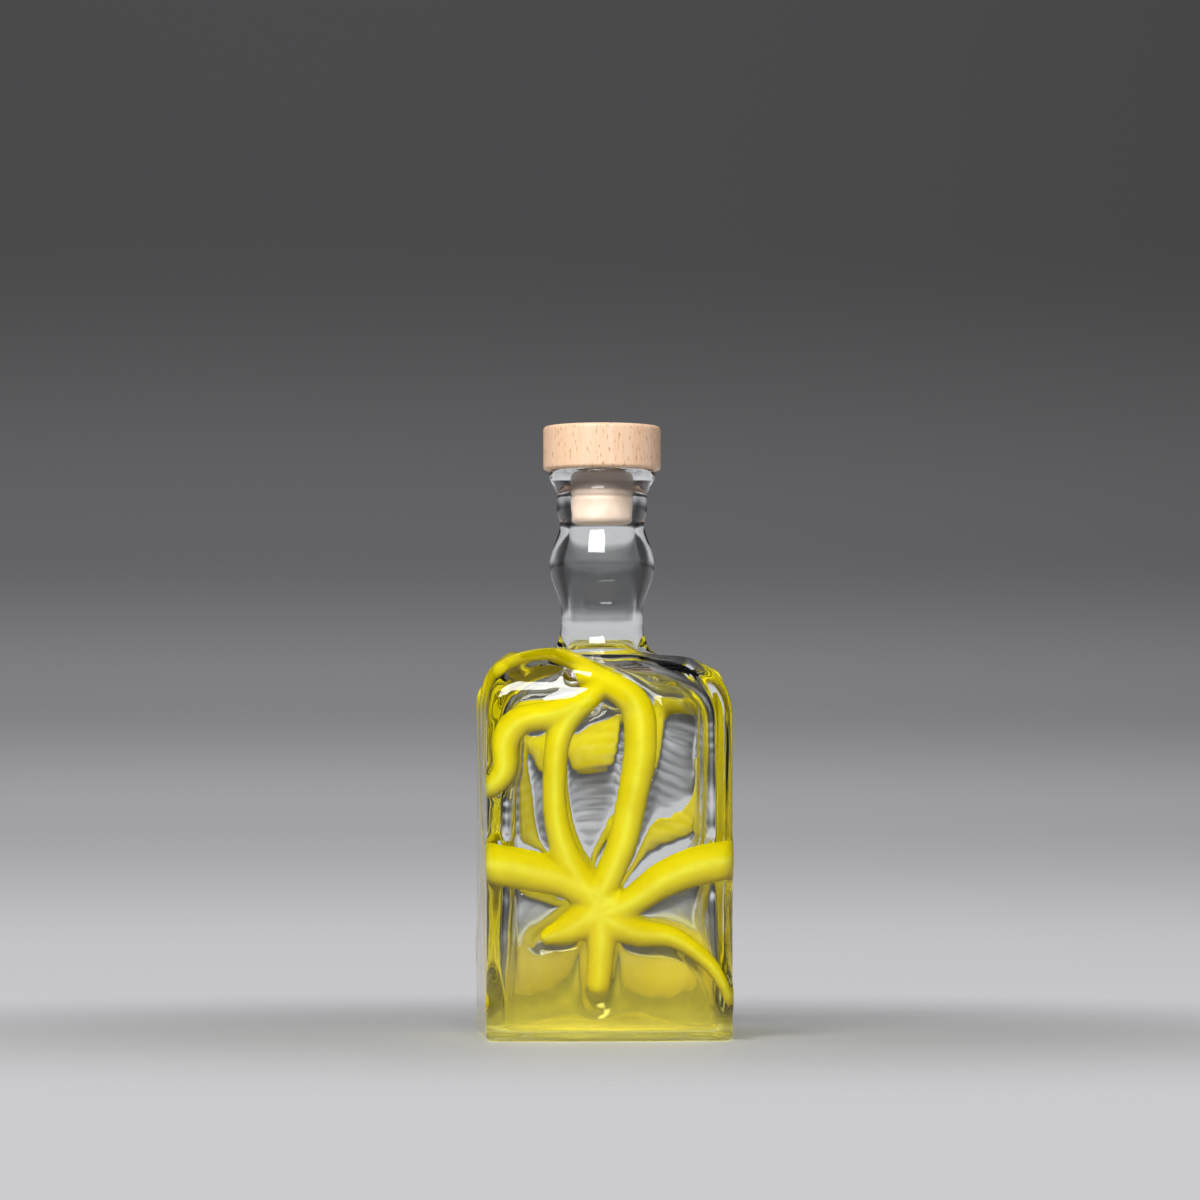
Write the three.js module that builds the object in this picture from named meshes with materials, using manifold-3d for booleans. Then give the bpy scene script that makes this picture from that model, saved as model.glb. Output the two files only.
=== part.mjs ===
// A square, mould-blown bottle of clear glass. Thick trails of yellow glass are fused into its wall:
// pressed nearly flush on the flat faces, standing up as cords on the shoulder. A stopper with a
// beech knob and a pale cork shank closes it, and the bottle is empty.
// Millimetres, +Z up, origin under the middle of the base. The front of the bottle faces -Y.
import * as THREE from 'three';
import { mergeVertices } from 'three/addons/utils/BufferGeometryUtils.js';
import Module from 'manifold-3d';

const wasm = await Module();
wasm.setup();

// Body
const BODY_HALF = 40;
const BODY_CORNER = 4.5;
const FOOT_ROUND = 1.6;
const WALL_TOP = 105;
const SHOULDER_TOP = 125.5;
const SHOULDER_REACH = 16;
const NECK_FOOT = 136;
const ROUND_HALF = 19;

// Underside and floor: the base is pushed up in the middle
const PUNT_RADIUS = 33;
const PUNT_RISE = 4.5;
const FLOOR_RADIUS = 36;
const FLOOR_RIM = 2.4;
const FLOOR_RISE = 7.6;

// Wall and cavity
const CAVITY_CORNER = 7;
const CAVITY_HALF_LOW = 37.2;
const CAVITY_HALF_MID = 35.4;
const CAVITY_WALL_TOP = 103;
const CAVITY_SHOULDER_TOP = 121;
const CAVITY_SHOULDER_REACH = 15.4;
const CAVITY_EASE_RADIUS = 15;
const CAVITY_ROUND_HALF = 15;
const CAVITY_HEEL = 2;
const CAVITY_MID_HEIGHT = 60;
const BORE_RADIUS = 10.6;
const CUT_OVERSHOOT = 1;

// Neck and lip
const NECK_RADIUS = 13.6;
const NECK_EASE_RADIUS = 18;
const NECK_SWELL = 0.5;
const NECK_SWELL_HEIGHT = 143.5;
const BULGE_RADIUS = 17.6;
const BULGE_HEIGHT = 155.5;
const BULGE_BORE = 13.1;
const WAIST_RADIUS = 14.2;
const WAIST_HEIGHT = 168;
const THROAT_RADIUS = 15.1;
const THROAT_HEIGHT = 173.5;
const COLLAR_FOOT = 179.5;
const COLLAR_RADIUS = 18;
const COLLAR_HEIGHT = 185.4;
const LIP_TOP = 187.3;
const LIP_ROUND = 1.2;
const LIP_LAND = 2.4;
const MOUTH_RADIUS = 13;
const MOUTH_DEPTH = 5.5;

// Stopper
const KNOB_RADIUS = 19.5;
const KNOB_HEIGHT = 14.5;
const KNOB_ROUND_TOP = 1.8;
const KNOB_ROUND_UNDER = 1.1;
const SHANK_RADIUS = 10.3;
const SHANK_LENGTH = 18.6;
const SHANK_ROUND = 3.2;
const SHANK_RING_HEIGHT = 178.3;
const SHANK_RING_DEPTH = 0.5;
const STOPPER_SIDES = 36;

// Trails: how far they stand out of the glass, and the share of the wall that they fill
const TRAIL_PROUD_FACE = 0.45;
const TRAIL_PROUD_SHOULDER = 2.9;
const TRAIL_RISE = 18;
const TRAIL_WALL_SHARE = 0.52;
const TRAIL_STEP = 10;
const TRAIL_SIDES = 6;
const TRAIL_CAP_STEPS = 1;
const TRAIL_GAP = 0.3;
const CORNER_CROWDING = 4;
const CORNER_MARGIN = 2;
const ROUTE_SAMPLES = 200;

// Mesh columns across each flat face and round each corner, and rows in a curved stretch of outline
const FACE_COLUMNS = 8;
const CORNER_COLUMNS = 2;
const CURVE_ROWS = 4;
const LIP_ROWS = 2;
const NECK_ROWS = 12;

const clamp = THREE.MathUtils.clamp;
const lerp = THREE.MathUtils.lerp;
const smoothstep = THREE.MathUtils.smoothstep;

// Perimeter of the body from the middle of one face to the middle of the next
const FACE_FLAT = BODY_HALF - BODY_CORNER;
const FACE_PITCH = 2 * FACE_FLAT + (BODY_CORNER * Math.PI) / 2;

// Distance of a place on the perimeter from the middle of the nearest face
const acrossFace = (perimeter) => perimeter - FACE_PITCH * Math.round(perimeter / FACE_PITCH);

// Direction from the axis to a place on the perimeter, measured from the middle of the front to the right
function directionAt(perimeter) {
  const face = Math.round(perimeter / FACE_PITCH);
  const across = acrossFace(perimeter);
  const turn = Math.max(0, Math.abs(across) - FACE_FLAT) / BODY_CORNER;
  const flat = Math.min(Math.abs(across), FACE_FLAT);
  const x = Math.sign(across) * (flat + BODY_CORNER * Math.sin(turn));
  const y = -FACE_FLAT - BODY_CORNER * Math.cos(turn);
  return new THREE.Vector2(x, y).rotateAround(new THREE.Vector2(), (face * Math.PI) / 2).normalize();
}

// Distance from the axis to the edge of a square section with round corners, along a direction
function sectionReach(direction, half, corner) {
  const large = Math.max(Math.abs(direction.x), Math.abs(direction.y));
  const small = Math.min(Math.abs(direction.x), Math.abs(direction.y));
  const straight = half / large;
  const flat = half - corner;
  if (small * straight <= flat) return straight;
  const along = flat * (large + small);
  return along + Math.sqrt(Math.max(0, along ** 2 - 2 * flat ** 2 + corner ** 2));
}

// Corner radius of a section: as on the wall where it is full width, fully round where the neck starts
function cornerAt(half, wallHalf, wallCorner, roundHalf) {
  return Math.min(half, lerp(wallCorner, half, smoothstep(wallHalf - half, 0, wallHalf - roundHalf)));
}
const outsideCorner = (half) => cornerAt(half, BODY_HALF, BODY_CORNER, ROUND_HALF);
const cavityCorner = (half) => cornerAt(half, CAVITY_HALF_MID, CAVITY_CORNER, CAVITY_ROUND_HALF);

// Outlines of the outside and of the cavity, as half-width against height
function outsideWall() {
  return new THREE.Path()
    .moveTo(BODY_HALF, 0)
    .lineTo(BODY_HALF, WALL_TOP)
    .absellipse(
      BODY_HALF - SHOULDER_REACH, WALL_TOP,
      SHOULDER_REACH, SHOULDER_TOP - WALL_TOP, 0, Math.PI / 2,
    )
    .bezierCurveTo(NECK_EASE_RADIUS, SHOULDER_TOP, NECK_RADIUS + 1, SHOULDER_TOP + 1, NECK_RADIUS, NECK_FOOT)
    .splineThru([
      new THREE.Vector2(NECK_RADIUS + NECK_SWELL, NECK_SWELL_HEIGHT),
      new THREE.Vector2(BULGE_RADIUS, BULGE_HEIGHT),
      new THREE.Vector2(WAIST_RADIUS, WAIST_HEIGHT),
      new THREE.Vector2(THROAT_RADIUS, THROAT_HEIGHT),
      new THREE.Vector2(THROAT_RADIUS, COLLAR_FOOT),
    ])
    .lineTo(COLLAR_RADIUS - LIP_ROUND / 2, COLLAR_HEIGHT - LIP_ROUND)
    .quadraticCurveTo(COLLAR_RADIUS, COLLAR_HEIGHT, COLLAR_RADIUS - LIP_ROUND / 3, COLLAR_HEIGHT + LIP_ROUND)
    .quadraticCurveTo(COLLAR_RADIUS - LIP_ROUND / 2, LIP_TOP, COLLAR_RADIUS - LIP_LAND, LIP_TOP);
}

function cavityWall() {
  return new THREE.Path()
    .moveTo(CAVITY_HALF_LOW, FLOOR_RIM + CAVITY_HEEL)
    .quadraticCurveTo(CAVITY_HALF_MID, CAVITY_MID_HEIGHT / 2, CAVITY_HALF_MID, CAVITY_MID_HEIGHT)
    .lineTo(CAVITY_HALF_MID, CAVITY_WALL_TOP)
    .absellipse(
      CAVITY_HALF_MID - CAVITY_SHOULDER_REACH, CAVITY_WALL_TOP,
      CAVITY_SHOULDER_REACH, CAVITY_SHOULDER_TOP - CAVITY_WALL_TOP, 0, Math.PI / 2,
    )
    .bezierCurveTo(
      CAVITY_EASE_RADIUS, CAVITY_SHOULDER_TOP,
      BORE_RADIUS, CAVITY_SHOULDER_TOP + 2, BORE_RADIUS, NECK_FOOT,
    )
    .splineThru([
      new THREE.Vector2(BORE_RADIUS + NECK_SWELL, NECK_SWELL_HEIGHT),
      new THREE.Vector2(BULGE_BORE, BULGE_HEIGHT),
      new THREE.Vector2(BORE_RADIUS, WAIST_HEIGHT - 1),
      new THREE.Vector2(BORE_RADIUS, LIP_TOP - MOUTH_DEPTH),
    ])
    .quadraticCurveTo(BORE_RADIUS, LIP_TOP - CUT_OVERSHOOT, MOUTH_RADIUS, LIP_TOP)
    .lineTo(MOUTH_RADIUS + CUT_OVERSHOOT, LIP_TOP + CUT_OVERSHOOT);
}

// Points of an outline: the ends of its straight stretches, and a few rows in each curve
function outlinePoints(path) {
  const points = path.curves.flatMap((curve) => {
    let rows = CURVE_ROWS;
    if (curve.isLineCurve) rows = 1;
    if (curve.isQuadraticBezierCurve) rows = LIP_ROWS;
    if (curve.isSplineCurve) rows = NECK_ROWS;
    return curve.getPoints(rows).slice(1);
  });
  return [path.curves[0].getPoint(0), ...points];
}

// Floor of the cavity and underside of the base, by distance from the axis
const floorHeight = (reach) => FLOOR_RIM + FLOOR_RISE * Math.max(0, 1 - (reach / FLOOR_RADIUS) ** 2);
const puntHeight = (reach) => PUNT_RISE * Math.max(0, 1 - (reach / PUNT_RADIUS) ** 2);

// Mesh columns: their directions from the axis, with extra ones round the corners
function meshColumns() {
  const offsets = [];
  for (let i = 0; i < FACE_COLUMNS; i++) {
    offsets.push(lerp(-FACE_FLAT, FACE_FLAT, i / (FACE_COLUMNS - 1)));
  }
  for (let i = 1; i <= CORNER_COLUMNS; i++) {
    offsets.push(lerp(FACE_FLAT, FACE_PITCH - FACE_FLAT, i / (CORNER_COLUMNS + 1)));
  }
  const faceStarts = [0, 1, 2, 3].map((face) => face * FACE_PITCH);
  return faceStarts.flatMap((start) => offsets.map((offset) => directionAt(start + offset)));
}
const COLUMNS = meshColumns();

// A closed mesh as a solid for joining and cutting, and back
function solid(geometry) {
  geometry.deleteAttribute('normal');
  geometry.deleteAttribute('uv');
  const merged = mergeVertices(geometry, 1e-4);
  return new wasm.Manifold(new wasm.Mesh({
    numProp: 3,
    vertProperties: new Float32Array(merged.getAttribute('position').array),
    triVerts: new Uint32Array(merged.index.array),
  }));
}

function geometryOf(body) {
  const mesh = body.getMesh();
  const geometry = new THREE.BufferGeometry();
  geometry.setAttribute('position', new THREE.BufferAttribute(mesh.vertProperties, 3));
  geometry.setIndex(new THREE.BufferAttribute(mesh.triVerts, 1));
  geometry.computeVertexNormals();
  return geometry;
}

// A lathe whose sections are squared off. Each station has a half-width, a height or a rule for it,
// and a corner radius
function squareLathe(stations) {
  const outline = stations.map((station) => new THREE.Vector2(station.half, 0));
  const geometry = new THREE.LatheGeometry(outline, COLUMNS.length);
  const position = geometry.getAttribute('position');
  for (let i = 0; i < position.count; i++) {
    const { half, corner, height } = stations[i % stations.length];
    const direction = COLUMNS[Math.floor(i / stations.length) % COLUMNS.length];
    const reach = sectionReach(direction, half, corner);
    const z = typeof height === 'function' ? height(reach) : height;
    position.setXYZ(i, direction.x * reach, direction.y * reach, z);
  }
  return solid(geometry);
}

// Round rows under a dome, from the axis outwards
function domeStations(radius, height) {
  const shares = [0, 0.3, 0.55, 0.8, 1];
  return shares.map((share) => ({ half: radius * share, corner: radius * share, height }));
}

function outsideSolid() {
  const foot = BODY_HALF - FOOT_ROUND;
  const footRise = FOOT_ROUND * (1 - Math.SQRT1_2);
  const wall = outlinePoints(outsideWall()).slice(1).map(({ x, y }) => ({
    half: x, height: y, corner: outsideCorner(x),
  }));
  return squareLathe([
    ...domeStations(PUNT_RADIUS, puntHeight),
    { half: foot, corner: BODY_CORNER, height: 0 },
    { half: BODY_HALF - footRise, corner: BODY_CORNER, height: footRise },
    { half: BODY_HALF, corner: BODY_CORNER, height: FOOT_ROUND },
    ...wall,
    { half: 0, corner: 0, height: LIP_TOP },
  ]);
}

function cavitySolid() {
  const wall = outlinePoints(cavityWall()).map(({ x, y }) => ({
    half: x, height: y, corner: cavityCorner(x),
  }));
  return squareLathe([
    ...domeStations(FLOOR_RADIUS - CAVITY_HEEL, floorHeight),
    { half: CAVITY_HALF_LOW - CAVITY_HEEL / 2, corner: CAVITY_CORNER, height: FLOOR_RIM + CAVITY_HEEL / 4 },
    ...wall,
    { half: 0, corner: 0, height: LIP_TOP + CUT_OVERSHOOT },
  ]);
}

// The outside of the wall as a chart: perimeter from the middle of the front, and distance up the
// outline from the foot, which is the height over the flat faces
const CHART = outsideWall();
const CHART_LENGTH = CHART.getLength();

function surfacePoint(perimeter, up) {
  const { x: half, y: height } = CHART.getPointAt(clamp(up / CHART_LENGTH, 0, 1));
  const direction = directionAt(perimeter);
  const reach = sectionReach(direction, half, outsideCorner(half));
  return new THREE.Vector3(direction.x * reach, direction.y * reach, height);
}

function surfaceNormal(perimeter, up) {
  const step = 0.5;
  const across = surfacePoint(perimeter + step, up).sub(surfacePoint(perimeter - step, up));
  const rise = surfacePoint(perimeter, up + step).sub(surfacePoint(perimeter, up - step));
  return across.cross(rise).normalize();
}

// How far a trail stands out of the wall and reaches into it
function trailProud(up) {
  return lerp(TRAIL_PROUD_FACE, TRAIL_PROUD_SHOULDER, smoothstep(up, WALL_TOP, WALL_TOP + TRAIL_RISE));
}

function trailDepth(up) {
  const low = smoothstep(up, 0, CAVITY_MID_HEIGHT);
  const wall = BODY_HALF - lerp(CAVITY_HALF_LOW, CAVITY_HALF_MID, low);
  return TRAIL_WALL_SHARE * wall;
}

// Places along a trail's route for its mesh rings, closer together where it goes round a corner
function ringPlaces(route) {
  const samples = route.getPoints(ROUTE_SAMPLES);
  const effort = [0];
  for (let i = 1; i < samples.length; i++) {
    const inCorner = Math.abs(acrossFace(samples[i].x)) > FACE_FLAT - CORNER_MARGIN;
    effort.push(effort[i - 1] + samples[i].distanceTo(samples[i - 1]) * (inCorner ? CORNER_CROWDING : 1));
  }
  const steps = Math.max(3, Math.round(effort.at(-1) / TRAIL_STEP));
  const places = [];
  for (let i = 0; i <= steps; i++) {
    const wanted = (effort.at(-1) * i) / steps;
    places.push(effort.findIndex((value) => value >= wanted - 1e-6) / ROUTE_SAMPLES);
  }
  return places;
}

// One trail: a capsule bent along its route over the surface, shallow underneath and crowned on top.
// Each route point is [across from the middle of its face, up, half-width]
function trailSolid({ face, points }, grow) {
  const route = new THREE.CatmullRomCurve3(
    points.map(([across, up, halfWidth]) => new THREE.Vector3(face * FACE_PITCH + across, up, halfWidth)),
  );
  const places = ringPlaces(route);
  const steps = places.length - 1;
  const geometry = new THREE.CapsuleGeometry(1, 1, TRAIL_CAP_STEPS, TRAIL_SIDES, steps);
  geometry.rotateY(Math.PI / TRAIL_SIDES);
  const position = geometry.getAttribute('position');
  for (let i = 0; i < position.count; i++) {
    const level = clamp(position.getY(i) + 0.5, 0, 1);
    const along = places[Math.round(level * steps)];
    const place = route.getPoint(along);
    const heading = route.getTangent(along).setZ(0).normalize();
    const reach = place.z + grow;
    const ahead = (position.getY(i) + 0.5 - level) * reach;
    const aside = (position.getX(i) / Math.cos(Math.PI / TRAIL_SIDES)) * reach;
    const perimeter = place.x + heading.x * ahead + heading.y * aside;
    const up = place.y + heading.y * ahead - heading.x * aside;
    const lift = position.getZ(i) * (grow + (position.getZ(i) > 0 ? trailProud(up) : trailDepth(up)));
    const vertex = surfacePoint(perimeter, up).addScaledVector(surfaceNormal(perimeter, up), lift);
    position.setXYZ(i, vertex.x, vertex.y, vertex.z);
  }
  return solid(geometry);
}

// The largest body of a solid, without the loose splinters that a cut can leave
function largestBody(body) {
  return body.decompose().reduce((best, piece) => (piece.volume() > best.volume() ? piece : best));
}

const FRONT = 0;
const RIGHT = 1;
const BACK = 2;
const LEFT = -1;
const TRAILS = [
  // Front: a tall loop that rises from a knot, with arms to both sides
  { face: FRONT, points: [
    [-5, 45, 5.5], [-13.5, 58, 5], [-17.4, 71, 4.3], [-18, 86, 4.1], [-16, 100, 4.4], [-4, 115, 4.4],
  ] },
  { face: FRONT, points: [
    [-4, 46, 5], [3.5, 63, 5.2], [7, 78, 5.3], [9.8, 97, 5.8], [7.5, 110, 5.6], [-3, 117, 4.6],
    [-9, 119, 4],
  ] },
  { face: FRONT, points: [
    [-10, 109, 4.6], [-19, 105.5, 5], [-29, 103.5, 5], [-34.5, 97, 5.4], [-35, 87, 4.8], [-41, 82, 4],
    [-54, 86, 3.6],
  ] },
  { face: FRONT, points: [
    [-6, 120, 3.6], [-14, 125, 3.2], [-26, 130, 3], [-41, 127, 3], [-52, 115, 3.2], [-54, 98, 3.4],
    [-56, 84, 3.6],
  ] },
  { face: FRONT, points: [
    [-4, 47, 7], [-14, 52, 6.4], [-28, 55.5, 7], [-42, 57.5, 6.8], [-58, 58, 5.6], [-74, 66, 5],
  ] },
  { face: FRONT, points: [
    [-3, 41, 6.2], [6, 44.5, 5.2], [17, 52, 6.2], [30, 57, 6.8], [44, 58, 6.6], [60, 52, 5.4],
  ] },
  { face: FRONT, points: [
    [-4, 44, 6.6], [-3, 32, 5], [-4, 18, 4.4],
  ] },
  { face: FRONT, points: [
    [-5, 42, 6.5], [-13, 36.5, 5.6], [-21, 33.5, 3],
  ] },
  { face: FRONT, points: [
    [-1, 39, 6], [9, 35, 4.8], [20, 33.5, 3.8], [32, 25, 2.8], [40, 13, 2.4],
  ] },
  // Right side
  { face: RIGHT, points: [
    [-22, 52, 5.6], [-8, 44, 5.4], [8, 46, 5.2], [24, 58, 5], [38, 80, 4.8],
  ] },
  { face: RIGHT, points: [
    [-6, 44, 5.2], [-12, 62, 4.6], [-18, 82, 4.4], [-20, 102, 4.4], [-10, 117, 4],
  ] },
  { face: RIGHT, points: [
    [-8, 44, 5], [-12, 28, 4.4], [-26, 17, 4], [-37, 14, 3.2],
  ] },
  { face: RIGHT, points: [
    [-10, 117, 4.2], [4, 110, 4.4], [14, 94, 4.4], [13, 74, 4.4], [12, 50, 4.6],
  ] },
  // Back
  { face: BACK, points: [
    [-68, 111, 4], [-52, 116, 4.2], [-38, 117, 4.6], [-24, 116, 5.4], [-13, 106, 7.2], [-3, 97, 9],
    [9, 96.5, 9], [20, 100, 7.2], [30, 105, 5.4], [42, 112, 4.2],
  ] },
  { face: BACK, points: [
    [-46, 90, 4.6], [-40, 79, 5], [-33, 70.5, 5.2], [-18, 65, 5.4], [-7, 58, 5.6], [0, 47, 6],
  ] },
  { face: BACK, points: [
    [29, 103, 4.6], [28, 90, 4.4], [25, 77, 6], [22, 64, 6.6], [12, 51, 6], [0, 46, 6],
  ] },
  { face: BACK, points: [
    [-2, 46, 6.6], [7, 33, 7], [18, 24, 8.6], [32, 23, 7.6], [46, 34, 5.4],
  ] },
  { face: BACK, points: [
    [0, 44, 6.4], [-8, 29, 7.4], [-20, 21, 8.6], [-34, 24, 6.6], [-47, 40, 5], [-54, 56, 5],
  ] },
  // Left side
  { face: LEFT, points: [
    [4, 66, 5], [-6, 78, 4.6], [-18, 92, 4.4], [-30, 108, 4.4], [-37, 113, 4],
  ] },
  { face: LEFT, points: [
    [6, 64, 5.2], [-8, 50, 5.2], [-22, 40, 5], [-32, 34, 5],
  ] },
  { face: LEFT, points: [
    [22, 86, 3.6], [10, 94, 3.8], [-2, 108, 4], [-6, 119, 3.6], [4, 126, 3.2], [18, 127, 3],
    [30, 122, 3],
  ] },
  { face: LEFT, points: [
    [12, 58, 5], [16, 40, 4.6], [24, 22, 4.2], [34, 12, 3.4],
  ] },
];

function bottleMeshes() {
  const cords = wasm.Manifold.union(TRAILS.map((trail) => trailSolid(trail, 0)));
  const beds = wasm.Manifold.union(TRAILS.map((trail) => trailSolid(trail, TRAIL_GAP)));
  const glass = largestBody(outsideSolid().subtract(cavitySolid()).subtract(beds));
  const clear = new THREE.Mesh(geometryOf(glass), new THREE.MeshStandardMaterial({
    color: 0xdfe3e4, roughness: 0.02, metalness: 0, transparent: true, opacity: 0.35,
  }));
  clear.name = 'bottle_glass';
  const yellow = new THREE.Mesh(geometryOf(cords), new THREE.MeshStandardMaterial({
    color: 0xe6d512, roughness: 0.03, metalness: 0,
  }));
  yellow.name = 'yellow_trails';
  return [clear, yellow];
}

// A turned piece: its outline is given as radius against height
function turned(path) {
  const outline = outlinePoints(path);
  return new THREE.LatheGeometry(outline, STOPPER_SIDES).rotateX(Math.PI / 2);
}

function stopperMeshes() {
  const under = LIP_TOP;
  const top = under + KNOB_HEIGHT;
  const knobOutline = new THREE.Path()
    .moveTo(0, under)
    .lineTo(KNOB_RADIUS - KNOB_ROUND_UNDER, under)
    .absarc(KNOB_RADIUS - KNOB_ROUND_UNDER, under + KNOB_ROUND_UNDER, KNOB_ROUND_UNDER, -Math.PI / 2, 0)
    .lineTo(KNOB_RADIUS, top - KNOB_ROUND_TOP)
    .absarc(KNOB_RADIUS - KNOB_ROUND_TOP, top - KNOB_ROUND_TOP, KNOB_ROUND_TOP, 0, Math.PI / 2)
    .lineTo(0, top);
  const end = under - SHANK_LENGTH;
  const ring = SHANK_RING_DEPTH;
  const shankOutline = new THREE.Path()
    .moveTo(0, end)
    .lineTo(SHANK_RADIUS - SHANK_ROUND, end)
    .absarc(SHANK_RADIUS - SHANK_ROUND, end + SHANK_ROUND, SHANK_ROUND, -Math.PI / 2, 0)
    .lineTo(SHANK_RADIUS, SHANK_RING_HEIGHT - ring)
    .lineTo(SHANK_RADIUS - ring, SHANK_RING_HEIGHT)
    .lineTo(SHANK_RADIUS, SHANK_RING_HEIGHT + ring)
    .lineTo(SHANK_RADIUS, under)
    .lineTo(0, under);
  const knob = new THREE.Mesh(turned(knobOutline), new THREE.MeshStandardMaterial({
    color: 0xe9c39a, roughness: 0.5, metalness: 0,
  }));
  knob.name = 'beech_knob';
  const shank = new THREE.Mesh(turned(shankOutline), new THREE.MeshStandardMaterial({
    color: 0xe8d3be, roughness: 0.65, metalness: 0,
  }));
  shank.name = 'cork_shank';
  return [knob, shank];
}

const bottle = new THREE.Group();
bottle.add(...bottleMeshes(), ...stopperMeshes());

export default bottle;
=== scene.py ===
import math

import bpy
import numpy as np
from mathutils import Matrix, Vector


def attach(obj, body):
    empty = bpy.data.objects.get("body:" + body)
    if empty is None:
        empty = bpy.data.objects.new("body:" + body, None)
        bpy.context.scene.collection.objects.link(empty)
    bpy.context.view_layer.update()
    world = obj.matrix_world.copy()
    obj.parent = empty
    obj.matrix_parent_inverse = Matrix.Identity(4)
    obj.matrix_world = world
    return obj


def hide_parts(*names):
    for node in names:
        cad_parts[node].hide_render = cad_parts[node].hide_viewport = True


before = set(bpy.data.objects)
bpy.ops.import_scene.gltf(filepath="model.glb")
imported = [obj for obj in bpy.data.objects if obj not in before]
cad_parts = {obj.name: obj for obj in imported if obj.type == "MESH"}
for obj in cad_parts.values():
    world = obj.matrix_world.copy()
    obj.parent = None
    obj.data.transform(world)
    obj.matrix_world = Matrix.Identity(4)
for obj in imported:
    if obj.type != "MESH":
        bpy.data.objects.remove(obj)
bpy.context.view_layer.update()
mm = 0.001
print("frame loaded")


# Small helpers for node trees and meshes

def addNode(tree, kind, settings=None, values=None, links=None):
    node = tree.nodes.new(kind)
    for name, value in (settings or {}).items():
        setattr(node, name, value)
    for name, value in (values or {}).items():
        node.inputs[name].default_value = value
    for name, socket in (links or {}).items():
        tree.links.new(socket, node.inputs[name])
    return node


def mathNode(tree, operation, first, second=None):
    node = addNode(tree, "ShaderNodeMath", {"operation": operation})
    for slot, value in enumerate((first, second)):
        if value is None:
            continue
        if isinstance(value, (int, float)):
            node.inputs[slot].default_value = value
        else:
            tree.links.new(value, node.inputs[slot])
    return node.outputs[0]


def vectorNode(tree, operation, first, second=None, scale=None):
    node = addNode(tree, "ShaderNodeVectorMath", {"operation": operation}, links={0: first})
    if second is not None:
        tree.links.new(second, node.inputs[1])
    if scale is not None:
        tree.links.new(scale, node.inputs["Scale"])
    return node.outputs["Value" if operation in ("DOT_PRODUCT", "DISTANCE", "LENGTH") else "Vector"]


def attributeNode(tree, name, kind="FLOAT"):
    node = addNode(tree, "GeometryNodeInputNamedAttribute", {"data_type": kind}, {"Name": name})
    return node.outputs["Attribute"]


def newTree(name, inputs):
    tree = bpy.data.node_groups.new(name, "GeometryNodeTree")
    tree.interface.new_socket("Geometry", in_out="INPUT", socket_type="NodeSocketGeometry")
    for label, kind in inputs.items():
        tree.interface.new_socket(label, in_out="INPUT", socket_type="NodeSocket" + kind)
    tree.interface.new_socket("Geometry", in_out="OUTPUT", socket_type="NodeSocketGeometry")
    return tree, tree.nodes.new("NodeGroupInput"), tree.nodes.new("NodeGroupOutput")


def endTree(tree, geometry, start, end):
    realized = addNode(tree, "GeometryNodeRealizeInstances", links={"Geometry": geometry})
    smooth = addNode(tree, "GeometryNodeSetShadeSmooth", links={"Geometry": realized.outputs["Geometry"]})
    finish = addNode(tree, "GeometryNodeSetMaterial", links={
        "Geometry": smooth.outputs["Geometry"], "Material": start.outputs["Material"]})
    tree.links.new(finish.outputs["Geometry"], end.inputs["Geometry"])


def useTree(piece, tree, values):
    modifier = piece.modifiers.new(tree.name, "NODES")
    modifier.node_group = tree
    for socket in tree.interface.items_tree:
        if socket.in_out == "INPUT" and socket.name in values:
            modifier[socket.identifier] = values[socket.name]


def makePlain(piece):
    depsgraph = bpy.context.evaluated_depsgraph_get()
    mesh = bpy.data.meshes.new_from_object(
        piece.evaluated_get(depsgraph), preserve_all_data_layers=True, depsgraph=depsgraph)
    piece.modifiers.clear()
    piece.data = mesh
    mesh.name = piece.name


def newPiece(name, points, edges=(), faces=()):
    mesh = bpy.data.meshes.new(name)
    mesh.from_pydata(points, edges, faces)
    mesh.update()
    piece = bpy.data.objects.new(name, mesh)
    bpy.context.scene.collection.objects.link(piece)
    return piece


def addAttribute(piece, name, kind, values):
    layer = piece.data.attributes.new(name, kind, "POINT")
    key = "vector" if kind == "FLOAT_VECTOR" else "value"
    layer.data.foreach_set(key, np.asarray(values, np.float32).ravel())


# Shape of the glass, in millimetres
glass = {
    "half": 40.0, "corner": 4.5, "footRound": 1.6, "wallTop": 105.0,
    "shoulderTop": 125.5, "shoulderReach": 16.0, "roundHalf": 19.0,
    "neckFoot": (13.6, 136.0),
    "neckEase": ((18.0, 125.5), (14.6, 126.5)),
    "neckLine": ((14.1, 143.5), (17.6, 155.5), (14.2, 168.0), (15.1, 173.5), (15.1, 179.5)),
    "collar": ((17.4, 184.2), (18.0, 185.4), (17.6, 186.6), (17.4, 187.3), (15.6, 187.3)),
    "puntRadius": 33.0, "puntRise": 4.5,
}
cavity = {
    "low": (37.2, 4.4), "half": 35.4, "midHeight": 60.0, "corner": 7.0, "wallTop": 103.0,
    "shoulderTop": 121.0, "shoulderReach": 15.4, "roundHalf": 15.0,
    "neckEase": ((15.0, 121.0), (10.6, 123.0)), "neckFoot": (10.6, 136.0),
    "boreLine": ((11.1, 143.5), (13.1, 155.5), (10.6, 167.0), (10.6, 181.8)),
    "mouth": ((10.6, 186.3), (13.0, 187.3)),
    "floorRadius": 36.0, "floorRim": 2.4, "floorRise": 7.6, "heel": ((36.2, 2.9), (36.8, 3.4)),
}
faceFlat = glass["half"] - glass["corner"]
facePitch = 2 * faceFlat + glass["corner"] * math.pi / 2


def smoothStep(value, low, high):
    share = np.clip((value - low) / (high - low), 0, 1)
    return share * share * (3 - 2 * share)


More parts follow.
